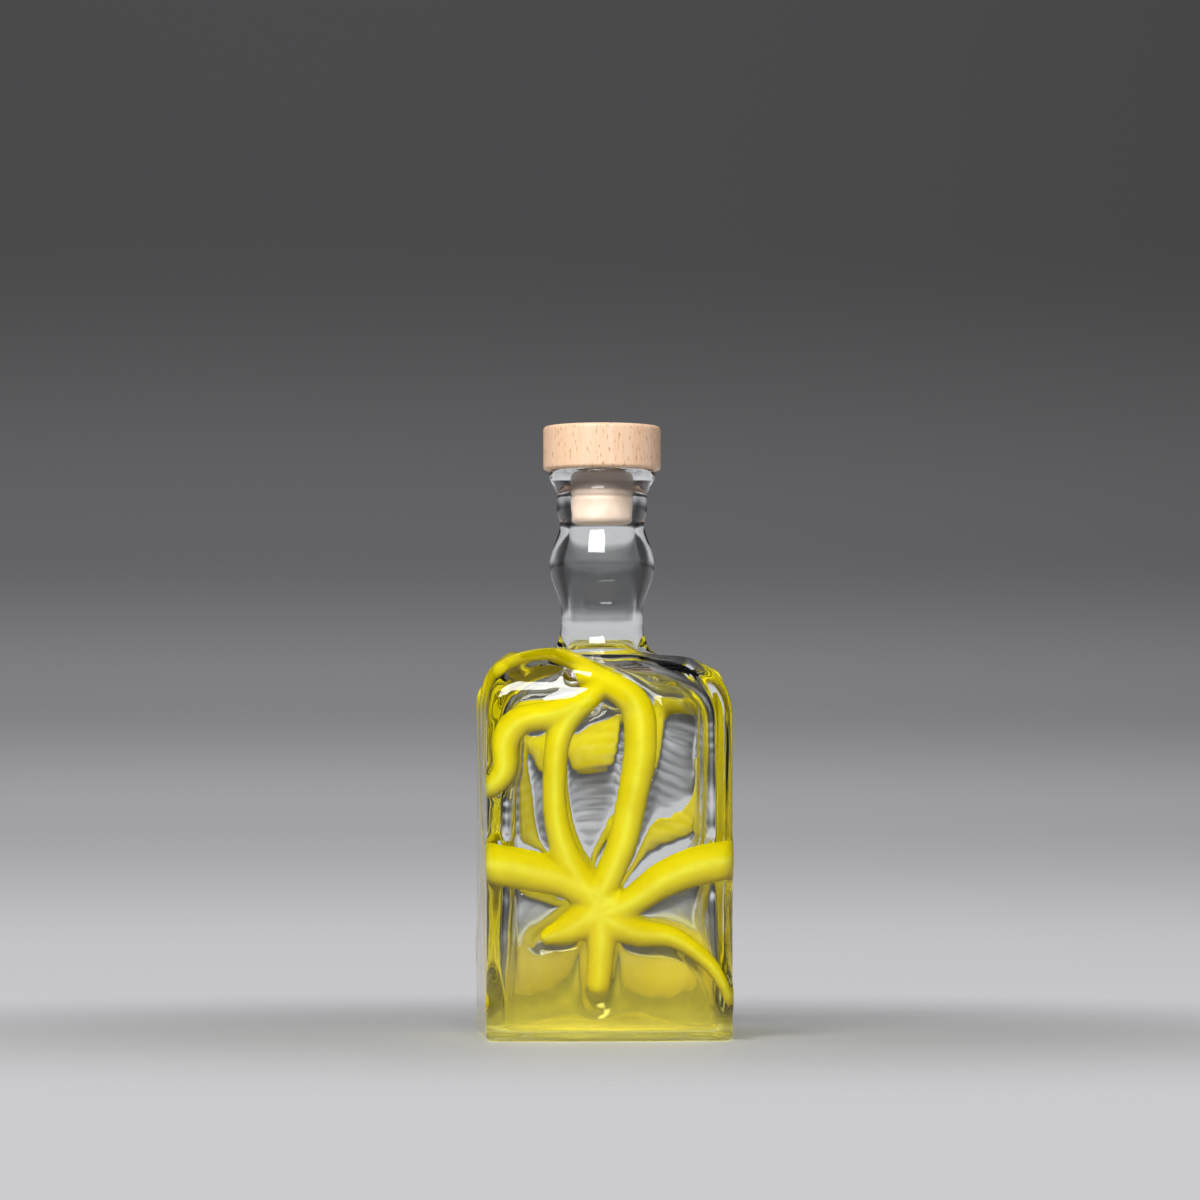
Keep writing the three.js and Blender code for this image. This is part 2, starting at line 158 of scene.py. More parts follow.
def directionAt(perimeter):
    face = np.round(perimeter / facePitch)
    across = perimeter - face * facePitch
    turn = np.maximum(0, np.abs(across) - faceFlat) / glass["corner"]
    flat = np.minimum(np.abs(across), faceFlat)
    x = np.sign(across) * (flat + glass["corner"] * np.sin(turn))
    y = -faceFlat - glass["corner"] * np.cos(turn)
    angle = face * math.pi / 2
    turned = np.stack([x * np.cos(angle) - y * np.sin(angle), x * np.sin(angle) + y * np.cos(angle)], -1)
    return turned / np.linalg.norm(turned, axis=-1, keepdims=True)


# Distance from the axis to the edge of a square section with round corners
def sectionReach(direction, half, corner):
    large = np.abs(direction).max(-1)
    small = np.abs(direction).min(-1)
    straight = half / large
    flat = half - corner
    along = flat * (large + small)
    bent = along + np.sqrt(np.maximum(0, along ** 2 - 2 * flat ** 2 + corner ** 2))
    return np.where(small * straight <= flat, straight, bent)


def cornerAt(half, wallHalf, wallCorner, roundHalf):
    share = smoothStep(wallHalf - half, 0, wallHalf - roundHalf)
    return np.minimum(half, wallCorner + (half - wallCorner) * share)


def outsideCorner(half):
    return cornerAt(half, glass["half"], glass["corner"], glass["roundHalf"])


def cavityCorner(half):
    return cornerAt(half, cavity["half"], cavity["corner"], cavity["roundHalf"])


# Stretches of an outline, each as points after its start
def bezierStretch(points, steps=48):
    points = np.array(points, float)
    t = np.linspace(0, 1, steps + 1)[1:, None]
    while len(points) > 1:
        points = [a + (b - a) * t for a, b in zip(points[:-1], points[1:])]
    return points[0]


def quarterStretch(centre, reach, rise, steps=64):
    angle = np.linspace(0, math.pi / 2, steps + 1)[1:]
    return np.stack([centre[0] + reach * np.cos(angle), centre[1] + rise * np.sin(angle)], -1)


# Points of a cubic from p1 to p2 with the slopes v1 and v2
def cubicStretch(p1, p2, v1, v2, t):
    cubic = 2 * p1 - 2 * p2 + v1 + v2
    square = 3 * p2 - 3 * p1 - 2 * v1 - v2
    return cubic * t ** 3 + square * t ** 2 + v1 * t + p1


def splineStretch(points, steps=32):
    points = np.array(points, float)
    padded = np.vstack([points[:1], points, points[-1:]])
    t = np.linspace(0, 1, steps + 1)[1:, None]
    parts = []
    for i in range(len(points) - 1):
        p0, p1, p2, p3 = padded[i:i + 4]
        v1 = (p2 - p0) / 2
        v2 = (p3 - p1) / 2
        parts.append(cubicStretch(p1, p2, v1, v2, t))
    return np.vstack(parts)


def outsideOutline():
    top = (glass["half"] - glass["shoulderReach"], glass["shoulderTop"])
    collar = glass["collar"]
    return np.vstack([
        [(glass["half"], 0), (glass["half"], glass["wallTop"])],
        quarterStretch((top[0], glass["wallTop"]), glass["shoulderReach"], top[1] - glass["wallTop"]),
        bezierStretch([top, *glass["neckEase"], glass["neckFoot"]]),
        splineStretch([glass["neckFoot"], *glass["neckLine"]]),
        bezierStretch([glass["neckLine"][-1], collar[0]], 8),
        bezierStretch(collar[:3], 12),
        bezierStretch(collar[2:], 12),
    ])


def cavityOutline():
    top = (cavity["half"] - cavity["shoulderReach"], cavity["shoulderTop"])
    middle = (cavity["half"], cavity["midHeight"])
    return np.vstack([
        [cavity["low"]],
        bezierStretch([cavity["low"], (cavity["half"], cavity["midHeight"] / 2), middle]),
        [(cavity["half"], cavity["wallTop"])],
        quarterStretch((top[0], cavity["wallTop"]), cavity["shoulderReach"], top[1] - cavity["wallTop"]),
        bezierStretch([top, *cavity["neckEase"], cavity["neckFoot"]]),
        splineStretch([cavity["neckFoot"], *cavity["boreLine"]]),
        bezierStretch([cavity["boreLine"][-1], *cavity["mouth"]], 16),
    ])


def lengthsAlong(points):
    return np.r_[0, np.cumsum(np.linalg.norm(np.diff(points, axis=0), axis=1))]


def pointsAt(points, lengths):
    along = lengthsAlong(points)
    return np.stack([np.interp(lengths, along, points[:, i]) for i in range(points.shape[1])], -1)


outline = outsideOutline()


# A place on the outside of the wall: perimeter from the middle of the front, and distance up the outline
def surfacePoint(perimeter, up):
    place = pointsAt(outline, np.clip(up, 0, None))
    direction = directionAt(perimeter)
    reach = sectionReach(direction, place[:, 0], outsideCorner(place[:, 0]))
    return np.column_stack([direction * reach[:, None], place[:, 1]])


def surfaceNormal(perimeter, up, step=0.5):
    across = surfacePoint(perimeter + step, up) - surfacePoint(perimeter - step, up)
    rise = surfacePoint(perimeter, up + step) - surfacePoint(perimeter, up - step)
    normal = np.cross(across, rise)
    return normal / np.linalg.norm(normal, axis=1, keepdims=True)


# Rings of points joined into one closed skin, from a pole to a pole
def ringSkin(name, rings, directions):
    columns = len(directions)
    points = [np.array([[0, 0, rings[0][2]]])]
    for half, corner, height in rings[1:-1]:
        reach = sectionReach(directions, half, corner)
        rise = height(reach) if callable(height) else np.full(columns, height)
        points.append(np.column_stack([directions * reach[:, None], rise]))
    points.append(np.array([[0, 0, rings[-1][2]]]))
    faces = []
    last = 1 + (len(rings) - 2) * columns
    for i in range(columns):
        j = (i + 1) % columns
        faces.append((0, 1 + j, 1 + i))
        faces.append((last, last - columns + i, last - columns + j))
    for ring in range(len(rings) - 3):
        low = 1 + ring * columns
        for i in range(columns):
            j = (i + 1) % columns
            faces.append((low + i, low + j, low + columns + j, low + columns + i))
    piece = newPiece(name, (np.vstack(points) * mm).tolist(), faces=faces)
    piece.data.shade_smooth()
    return piece


# Yellow trails: routes as across from the middle of a face, up and half-width
trails = {
    "proudFace": 0.38, "proudShoulder": 2.85, "rise": 18.0, "wallShare": 0.86, "sinkShare": 0.46,
    "step": 0.8, "underSkin": 0.2, "voxel": 0.78, "sides": 20, "smoothing": 4,
    "overrun": 0.75, "thinEnd": 0.12,
    "front": [
        [(-5, 45, 5.5), (-13.5, 58, 5), (-17.4, 71, 4.3), (-18, 86, 4.1), (-16, 100, 4.4),
         (-4, 115, 4.4)],
        [(-4, 46, 5), (3.5, 63, 5.2), (7, 78, 5.3), (9.8, 97, 5.8), (7.5, 110, 5.6), (-3, 117, 4.6),
         (-9, 119, 4)],
        [(-10, 109, 4.6), (-19, 105.5, 5), (-29, 103.5, 5), (-34.5, 97, 5.4), (-35, 87, 4.8), (-41, 82, 4),
         (-54, 86, 3.6)],
        [(-6, 120, 3.6), (-14, 125, 3.2), (-26, 130, 3), (-41, 127, 3), (-52, 115, 3.2), (-54, 98, 3.4),
         (-56, 84, 3.6)],
        [(-4, 47, 7), (-14, 52, 6.4), (-28, 55.5, 7), (-42, 57.5, 6.8), (-58, 58, 5.6), (-74, 66, 5)],
        [(-3, 41, 6.2), (6, 44.5, 5.2), (17, 52, 6.2), (30, 57, 6.8), (44, 58, 6.6), (60, 52, 5.4)],
        [(-4, 44, 6.6), (-3, 32, 5), (-4, 18, 4.4)],
        [(-5, 42, 6.5), (-13, 36.5, 5.6), (-21, 33.5, 3)],
        [(-1, 39, 6), (9, 35, 4.8), (20, 33.5, 3.8), (32, 25, 2.8), (40, 13, 2.4)],
    ],
    "right": [
        [(-22, 52, 5.6), (-8, 44, 5.4), (8, 46, 5.2), (24, 58, 5), (38, 80, 4.8)],
        [(-6, 44, 5.2), (-12, 62, 4.6), (-18, 82, 4.4), (-20, 102, 4.4), (-10, 117, 4)],
        [(-8, 44, 5), (-12, 28, 4.4), (-26, 17, 4), (-37, 14, 3.2)],
        [(-10, 117, 4.2), (4, 110, 4.4), (14, 94, 4.4), (13, 74, 4.4), (12, 50, 4.6)],
    ],
    "back": [
        [(-68, 111, 4), (-52, 116, 4.2), (-38, 117, 4.6), (-24, 116, 5.4), (-13, 106, 7.2), (-3, 97, 9),
         (9, 96.5, 9), (20, 100, 7.2), (30, 105, 5.4), (42, 112, 4.2)],
        [(-46, 90, 4.6), (-40, 79, 5), (-33, 70.5, 5.2), (-18, 65, 5.4), (-7, 58, 5.6), (0, 47, 6)],
        [(29, 103, 4.6), (28, 90, 4.4), (25, 77, 6), (22, 64, 6.6), (12, 51, 6), (0, 46, 6)],
        [(-2, 46, 6.6), (7, 33, 7), (18, 24, 8.6), (32, 23, 7.6), (46, 34, 5.4)],
        [(0, 44, 6.4), (-8, 29, 7.4), (-20, 21, 8.6), (-34, 24, 6.6), (-47, 40, 5), (-54, 56, 5)],
    ],
    "left": [
        [(4, 66, 5), (-6, 78, 4.6), (-18, 92, 4.4), (-30, 108, 4.4), (-37, 113, 4)],
        [(6, 64, 5.2), (-8, 50, 5.2), (-22, 40, 5), (-32, 34, 5)],
        [(22, 86, 3.6), (10, 94, 3.8), (-2, 108, 4), (-6, 119, 3.6), (4, 126, 3.2), (18, 127, 3),
         (30, 122, 3)],
        [(12, 58, 5), (16, 40, 4.6), (24, 22, 4.2), (34, 12, 3.4)],
    ],
}
faceNumbers = {"front": 0, "right": 1, "back": 2, "left": -1}


# A smooth route through its points that doesn't overshoot where they lie unevenly
def smoothRoute(points, steps=40):
    points = np.array(points, float)
    padded = np.vstack([2 * points[0] - points[1], points, 2 * points[-1] - points[-2]])
    gaps = np.sqrt(np.linalg.norm(np.diff(padded, axis=0), axis=1))
    t = np.linspace(0, 1, steps + 1)[1:, None]
    parts = [points[:1]]
    for i in range(len(points) - 1):
        p0, p1, p2, p3 = padded[i:i + 4]
        d0, d1, d2 = gaps[i:i + 3]
        v1 = ((p1 - p0) / d0 - (p2 - p0) / (d0 + d1) + (p2 - p1) / d1) * d1
        v2 = ((p2 - p1) / d1 - (p3 - p1) / (d1 + d2) + (p3 - p2) / d2) * d1
        parts.append(cubicStretch(p1, p2, v1, v2, t))
    return np.vstack(parts)


def trailStrand(route):
    ends = []
    for end, inner in ((route[0], route[1]), (route[-1], route[-2])):
        away = (end - inner)[:2] / np.linalg.norm((end - inner)[:2])
        ends.append(np.r_[end[:2] + away * end[2] * trails["overrun"], end[2]])
    route = np.vstack([ends[0], route, ends[1]])
    along = lengthsAlong(route[:, :2])
    count = int(along[-1] / trails["step"])
    wanted = np.linspace(0, along[-1], count)
    perimeter, up, halfWidth = (np.interp(wanted, along, route[:, i]) for i in range(3))
    fromEnd = np.minimum(wanted, along[-1] - wanted)
    share = np.clip(fromEnd / halfWidth, 0, 1)
    swell = np.maximum(trails["thinEnd"], np.sqrt(1 - (1 - share) ** 2))  # round ends
    tangent = np.gradient(np.column_stack([perimeter, up]), axis=0)
    tangent /= np.linalg.norm(tangent, axis=1, keepdims=True)
    wall = glass["half"] - (cavity["low"][0] + (cavity["half"] - cavity["low"][0])
                            * smoothStep(up, 0, cavity["midHeight"]))
    lift = smoothStep(up, glass["wallTop"], glass["wallTop"] + trails["rise"])
    proud = trails["proudFace"] + (trails["proudShoulder"] - trails["proudFace"]) * lift
    sink = trails["sinkShare"] * wall * (1 - lift)  # on the faces the cords lie in the middle of the wall
    level = np.zeros(count)
    return {
        "chart": np.column_stack([perimeter, up, level]) * mm,
        "place": surfacePoint(perimeter, up) * mm,
        "aside": np.column_stack([-tangent[:, 1], tangent[:, 0], level]),
        "fullWidth": halfWidth * mm,
        "fullProud": proud * mm,
        "halfWidth": halfWidth * swell * mm,
        "proud": (proud + sink) * swell * mm,
        "sink": sink * mm,
        "depth": (trails["wallShare"] * wall - sink) * swell * mm,
    }


# All routes twice: flat on the unrolled wall, and in place on the bottle
def trailPaths():
    strands = []
    for face, number in faceNumbers.items():
        for points in trails[face]:
            shifted = [(number * facePitch + across, up, width) for across, up, width in points]
            strands.append(trailStrand(smoothRoute(shifted)))
    edges = []
    start = 0
    for strand in strands:
        count = len(strand["place"])
        edges += [(start + i, start + i + 1) for i in range(count - 1)]
        start += count
    joined = {name: np.concatenate([strand[name] for strand in strands]) for name in strands[0]}
    made = []
    for label, key in (("flatRoutes", "chart"), ("routes", "place")):
        paths = newPiece(label, joined[key].tolist(), edges=edges)
        for name, values in joined.items():
            addAttribute(paths, name, "FLOAT_VECTOR" if values.ndim == 2 else "FLOAT", values)
        paths.hide_render = True
        made.append(paths)
    return made


# Lays a flat mesh on the wall: perimeter, distance up, and height over the wall
def wrapOnWall(piece):
    count = len(piece.data.vertices)
    flat = np.empty(count * 3, np.float32)
    piece.data.vertices.foreach_get("co", flat)
    perimeter, up, height = flat.reshape(-1, 3).T.astype(float) / mm
    placed = surfacePoint(perimeter, up) + surfaceNormal(perimeter, up) * height[:, None]
    piece.data.vertices.foreach_set("co", (placed * mm).astype(np.float32).ravel())
    piece.data.update()


# Each route becomes a flattened cord: crowned above the wall, shallow below it
def trailTree():
    tree, start, end = newTree("trailCords", {
        "Sides": "Int", "Section": "Float", "Under skin": "Float", "Material": "Material"})
    curve = addNode(tree, "GeometryNodeMeshToCurve", links={"Mesh": start.outputs["Geometry"]})
    ring = addNode(tree, "GeometryNodeCurvePrimitiveCircle", links={
        "Resolution": start.outputs["Sides"], "Radius": start.outputs["Section"]})
    cord = addNode(tree, "GeometryNodeCurveToMesh", values={"Fill Caps": True}, links={
        "Curve": curve.outputs["Curve"], "Profile Curve": ring.outputs["Curve"]})
    place = attributeNode(tree, "chart", "FLOAT_VECTOR")
    aside = attributeNode(tree, "aside", "FLOAT_VECTOR")
    position = tree.nodes.new("GeometryNodeInputPosition").outputs["Position"]
    offset = vectorNode(tree, "SUBTRACT", position, place)
    across = mathNode(tree, "DIVIDE", vectorNode(tree, "DOT_PRODUCT", offset, aside),
                      start.outputs["Section"])
    parts = addNode(tree, "ShaderNodeSeparateXYZ", links={"Vector": offset})
    above = mathNode(tree, "DIVIDE", parts.outputs["Z"], start.outputs["Section"])
    proud = mathNode(tree, "SUBTRACT", attributeNode(tree, "proud"), start.outputs["Under skin"])
    crown = mathNode(tree, "MULTIPLY", mathNode(tree, "MAXIMUM", above, 0.0), proud)
    belly = mathNode(tree, "MULTIPLY", mathNode(tree, "MINIMUM", above, 0.0),
                     attributeNode(tree, "depth"))
    width = mathNode(tree, "MULTIPLY", across, attributeNode(tree, "halfWidth"))
    sideways = vectorNode(tree, "SCALE", aside, scale=width)
    level = mathNode(tree, "SUBTRACT", mathNode(tree, "ADD", crown, belly), attributeNode(tree, "sink"))
    upwards = addNode(tree, "ShaderNodeCombineXYZ", links={"Z": level})
    shaped = vectorNode(tree, "ADD", place, vectorNode(tree, "ADD", sideways, upwards.outputs["Vector"]))
    moved = addNode(tree, "GeometryNodeSetPosition", links={
        "Geometry": cord.outputs["Mesh"], "Position": shaped})
    endTree(tree, moved.outputs["Geometry"], start, end)
    return tree


# Distance to the nearest route, and values of that route
def nearestRoute(tree, start, wanted):
    info = addNode(tree, "GeometryNodeObjectInfo", links={"Object": start.outputs["Routes"]})
    nearest = addNode(tree, "GeometryNodeSampleNearest", links={"Geometry": info.outputs["Geometry"]})
    found = {}
    for name, kind in wanted.items():
        found[name] = addNode(tree, "GeometryNodeSampleIndex", {"data_type": kind}, links={
            "Geometry": info.outputs["Geometry"], "Value": attributeNode(tree, name, kind),
            "Index": nearest.outputs["Index"]}).outputs["Value"]
    position = tree.nodes.new("GeometryNodeInputPosition").outputs["Position"]
    found["distance"] = vectorNode(tree, "DISTANCE", position, found["place"])
    return found


def trailFinishTree():
    tree, start, end = newTree("trailFinish", {
        "Routes": "Object", "Smoothing": "Int", "Material": "Material"})
    position = tree.nodes.new("GeometryNodeInputPosition").outputs["Position"]
    blurred = addNode(tree, "GeometryNodeBlurAttribute", {"data_type": "FLOAT_VECTOR"}, links={
        "Value": position, "Iterations": start.outputs["Smoothing"]})
    moved = addNode(tree, "GeometryNodeSetPosition", links={
        "Geometry": start.outputs["Geometry"], "Position": blurred.outputs["Value"]})
    found = nearestRoute(tree, start, {"place": "FLOAT_VECTOR", "fullWidth": "FLOAT"})
    # edgeShare, distance from the route over the cord's half-width, sets where the cords get their painted
    # highlight and painted shade
    share = mathNode(tree, "DIVIDE", found["distance"], found["fullWidth"])
    stored = addNode(tree, "GeometryNodeStoreNamedAttribute", {"data_type": "FLOAT"},
                     {"Name": "edgeShare"}, {"Geometry": moved.outputs["Geometry"], "Value": share})
    endTree(tree, stored.outputs["Geometry"], start, end)
    return tree


def newMaterial(name, values):
    material = bpy.data.materials.new(name)
    material.use_nodes = True
    shader = material.node_tree.nodes["Principled BSDF"]
    for label, value in values.items():
        shader.inputs[label].default_value = value
    return material, material.node_tree, shader


def setRamp(ramp, stops):
    for i, (place, colour) in enumerate(stops):
        stop = ramp.elements[i] if i < 2 else ramp.elements.new(place)
        stop.position = place
        stop.color = colour


# Yellow cords: glass settings, and tones that paint light and shade: a painted highlight down the middle of
# each cord and painted shade towards its edges, for the look of a round cord
yellowGlassAndPaintedShade = {
    "tones": [(0.0, (0.97, 0.95, 0.09, 1)), (0.3, (0.89, 0.81, 0.006, 1)),
              (0.7, (0.76, 0.66, 0.001, 1)), (1.0, (0.50, 0.43, 0.0, 1))],
    "streak": (0.74, 0.62, 0.0, 1), "streakScale": 90.0, "streakFrom": 0.48, "streakTo": 0.75,
    "streakShare": 0.6, "spread": (1.0, 0.9, 0.15),
    "clear": 0.42, "milky": 0.6, "glow": 2.0, "density": 480.0, "absorb": (1.0, 0.97, 0.0, 1),
}


def yellowGlass():
    material, tree, shader = newMaterial("yellowGlass", {
        "Transmission Weight": yellowGlassAndPaintedShade["clear"], "Roughness": 0.0, "IOR": 1.0,
        "Subsurface Weight": yellowGlassAndPaintedShade["milky"], "Subsurface Radius": yellowGlassAndPaintedShade["spread"],
        "Subsurface Scale": yellowGlassAndPaintedShade["glow"] * mm})
    edge = addNode(tree, "ShaderNodeAttribute", {"attribute_name": "edgeShare"})
    # painted highlight and painted shade: the colour runs from pale and bright at the route to dark at the
    # cord's edges
    rim = addNode(tree, "ShaderNodeValToRGB", links={"Fac": edge.outputs["Fac"]})
    setRamp(rim.color_ramp, yellowGlassAndPaintedShade["tones"])
    coords = addNode(tree, "ShaderNodeTexCoord")
    cloud = addNode(tree, "ShaderNodeTexNoise", values={
        "Scale": yellowGlassAndPaintedShade["streakScale"], "Detail": 3.0}, links={"Vector": coords.outputs["Object"]})
    amount = addNode(tree, "ShaderNodeMapRange", values={
        "From Min": yellowGlassAndPaintedShade["streakFrom"], "From Max": yellowGlassAndPaintedShade["streakTo"],
        "To Max": yellowGlassAndPaintedShade["streakShare"]}, links={"Value": cloud.outputs["Fac"]})
    tone = addNode(tree, "ShaderNodeMix", {"data_type": "RGBA"}, {7: yellowGlassAndPaintedShade["streak"]},
                   {0: amount.outputs["Result"], 6: rim.outputs["Color"]})
    tree.links.new(tone.outputs[2], shader.inputs["Base Color"])
    depth = addNode(tree, "ShaderNodeVolumeAbsorption", values={
        "Color": yellowGlassAndPaintedShade["absorb"], "Density": yellowGlassAndPaintedShade["density"]})
    tree.links.new(depth.outputs["Volume"], tree.nodes["Material Output"].inputs["Volume"])
    return material


def buildTrails(flatRoutes, routes):
    material = yellowGlass()
    piece = flatRoutes.copy()
    piece.data = flatRoutes.data.copy()
    piece.name = "trails"
    piece.hide_render = False
    bpy.context.scene.collection.objects.link(piece)
    useTree(piece, trailTree(), {
        "Sides": trails["sides"], "Section": mm, "Under skin": trails["underSkin"] * mm,
        "Material": material})
    makePlain(piece)
    wrapOnWall(piece)
    fused = piece.modifiers.new("fused", "REMESH")
    fused.mode = "VOXEL"
    fused.voxel_size = trails["voxel"] * mm
    fused.use_smooth_shade = True
    useTree(piece, trailFinishTree(), {
        "Routes": routes, "Smoothing": trails["smoothing"], "Material": material})
    makePlain(piece)
    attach(piece, "root")
    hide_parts("yellow_trails")
    print("trails", len(piece.data.polygons), "faces")
    return piece


# Clear glass: the grid of the bottle, and how its skin follows the trails
skin = {
    "flatColumns": 55, "cornerColumns": 10, "wallStep": 1.15, "shoulderStep": 0.75, "neckStep": 1.2,
    "boreStep": 1.6, "lipStep": 0.6, "mouthStep": 0.7, "innerShoulderStep": 1.1, "above": 6.0,
    "skirt": 1.15, "crown": 0.75, "wall": 4.3, "bulge": 1.5, "wave": 0.16, "waveScale": 70.0,
    "insideWave": 3.0, "blur": 2, "footFade": (5, 9), "lipFade": (182, 186), "boreFade": (160, 168),
}


def columnDirections():
    flat = np.linspace(-faceFlat, faceFlat, skin["flatColumns"])
    bend = np.linspace(faceFlat, facePitch - faceFlat, skin["cornerColumns"] + 2)[1:-1]
    return directionAt(np.concatenate([face * facePitch + np.r_[flat, bend] for face in range(4)]))


def outlineRows(points, steps):
    lengths = [0.0]
    total = lengthsAlong(points)[-1]
    while lengths[-1] < total:
        height = pointsAt(points, np.array(lengths[-1:]))[0][1]
        lengths.append(lengths[-1] + next(step for top, step in steps if height < top))
    lengths = np.array(lengths) * total / lengths[-1]
    return pointsAt(points, lengths)


def floorHeight(reach):
    share = np.maximum(0, 1 - (reach / cavity["floorRadius"]) ** 2)
    return cavity["floorRim"] + cavity["floorRise"] * share


def puntHeight(reach):
    return glass["puntRise"] * np.maximum(0, 1 - (reach / glass["puntRadius"]) ** 2)


def bottleRings():
    rings = [(0, 0, glass["puntRise"])]
    rings += [(r, r, puntHeight) for r in np.linspace(0, glass["puntRadius"], 11)[1:]]
    foot = glass["footRound"]
    for angle in np.linspace(0, math.pi / 2, 5):
        half = glass["half"] - foot * (1 - math.sin(angle))
        rings.append((half, glass["corner"], foot * (1 - math.cos(angle))))
    rows = outlineRows(outline, [
        (glass["wallTop"] - 3, skin["wallStep"]), (glass["neckFoot"][1] - 6, skin["shoulderStep"]),
        (180, skin["neckStep"]), (999, skin["lipStep"])])
    rings += [(x, float(outsideCorner(x)), z) for x, z in rows if z > foot + 0.4]
    outside = len(rings)
    inner = outlineRows(cavityOutline(), [
        (cavity["wallTop"] - 3, skin["boreStep"]), (130, skin["innerShoulderStep"]),
        (181, skin["boreStep"]), (999, skin["mouthStep"])])
    rings += [(x, float(cavityCorner(x)), z) for x, z in inner[::-1]]
    rings += [(x, cavity["corner"], z) for x, z in cavity["heel"][::-1]]
    rings += [(r, r, floorHeight) for r in np.linspace(cavity["floorRadius"] - 2, 0, 13)[:-1]]
    rings.append((0, 0, cavity["floorRim"] + cavity["floorRise"]))
    return rings, outside


# The skin rises over the trails, the inside of the wall swells under them, and both waver a little
def skinTree():
    tree, start, end = newTree("glassSkin", {
        "Routes": "Object", "Trails": "Object", "Cover": "Float", "Skirt": "Float", "Wall": "Float",
        "Bulge": "Float", "Wave": "Float", "Wave scale": "Float", "Blur": "Int", "Material": "Material"})
    found = nearestRoute(tree, start, {
        "place": "FLOAT_VECTOR", "fullWidth": "FLOAT", "fullProud": "FLOAT"})
    inside = attributeNode(tree, "inside")
    outside = attributeNode(tree, "outside")
    gap = mathNode(tree, "MULTIPLY", start.outputs["Wall"], inside)
    square = mathNode(tree, "SUBTRACT", mathNode(tree, "POWER", found["distance"], 2.0),
                      mathNode(tree, "POWER", gap, 2.0))
    sideways = mathNode(tree, "SQRT", mathNode(tree, "MAXIMUM", square, 0.0))
    reach = mathNode(tree, "MULTIPLY", found["fullWidth"], start.outputs["Skirt"])
    share = mathNode(tree, "DIVIDE", sideways, mathNode(tree, "MAXIMUM", reach, 0.0005))
    left = mathNode(tree, "SUBTRACT", 1.0, mathNode(tree, "POWER", share, 2.0))
    crown = mathNode(tree, "POWER", mathNode(tree, "MAXIMUM", left, 0.0), skin["crown"])
    position = tree.nodes.new("GeometryNodeInputPosition").outputs["Position"]
    normal = tree.nodes.new("GeometryNodeInputNormal").outputs["Normal"]
    body = addNode(tree, "GeometryNodeObjectInfo", links={"Object": start.outputs["Trails"]})
    above = addNode(tree, "ShaderNodeVectorMath", {"operation": "SCALE"},
                    {"Scale": skin["above"] * mm}, {0: normal})
    down = addNode(tree, "ShaderNodeVectorMath", {"operation": "SCALE"}, {"Scale": -1.0}, {0: normal})
    ray = addNode(tree, "GeometryNodeRaycast", values={"Ray Length": skin["above"] * mm}, links={
        "Target Geometry": body.outputs["Geometry"], "Ray Direction": down.outputs["Vector"],
        "Source Position": vectorNode(tree, "ADD", position, above.outputs["Vector"])})
    core = mathNode(tree, "ADD", start.outputs["Cover"],
                    mathNode(tree, "SUBTRACT", skin["above"] * mm, ray.outputs["Hit Distance"]))
    core = mathNode(tree, "MULTIPLY", core, ray.outputs["Is Hit"])
    lifted = mathNode(tree, "MAXIMUM", mathNode(tree, "MULTIPLY", crown, found["fullProud"]), core)
    rise = mathNode(tree, "MULTIPLY", lifted, outside)
    swell = mathNode(tree, "MULTIPLY", mathNode(tree, "MULTIPLY", crown, start.outputs["Bulge"]), inside)
    noise = addNode(tree, "ShaderNodeTexNoise", values={"Detail": 1.0, "Roughness": 0.4}, links={
        "Vector": position, "Scale": start.outputs["Wave scale"]})
    waver = mathNode(tree, "MULTIPLY", noise.outputs[0], start.outputs["Wave"])
    waverShare = mathNode(tree, "SUBTRACT", mathNode(tree, "MULTIPLY", inside, skin["insideWave"]), outside)
    ripple = mathNode(tree, "MULTIPLY", waver, waverShare)
    blurred = addNode(tree, "GeometryNodeBlurAttribute", {"data_type": "FLOAT"}, links={
        "Value": mathNode(tree, "ADD", rise, swell), "Iterations": start.outputs["Blur"]})
    height = mathNode(tree, "ADD", blurred.outputs[0], ripple)
    moved = addNode(tree, "GeometryNodeSetPosition", links={
        "Geometry": start.outputs["Geometry"], "Offset": vectorNode(tree, "SCALE", normal, scale=height)})
    endTree(tree, moved.outputs["Geometry"], start, end)
    return tree


clearFinish = {
    "tint": (0.97, 0.985, 0.98, 1), "ringPitch": 3.0, "ringCentre": (0, 0, 25), "ringDepth": 0.045,
    "ringFactor": 0.314, "ringTop": 108.0, "ringFull": 95.0,
    "patchScale": 45.0, "patchFrom": 0.4, "patchTo": 0.62,
    "haze": (0.985, 0.91, 0.20, 1), "hazeTop": 46.0, "hazeFoot": 20.0, "hazeMilk": 0.16,
    "hazeRagged": 30.0, "hazeRipple": 4.0, "footTop": 11.0, "footFull": 7.0,
}


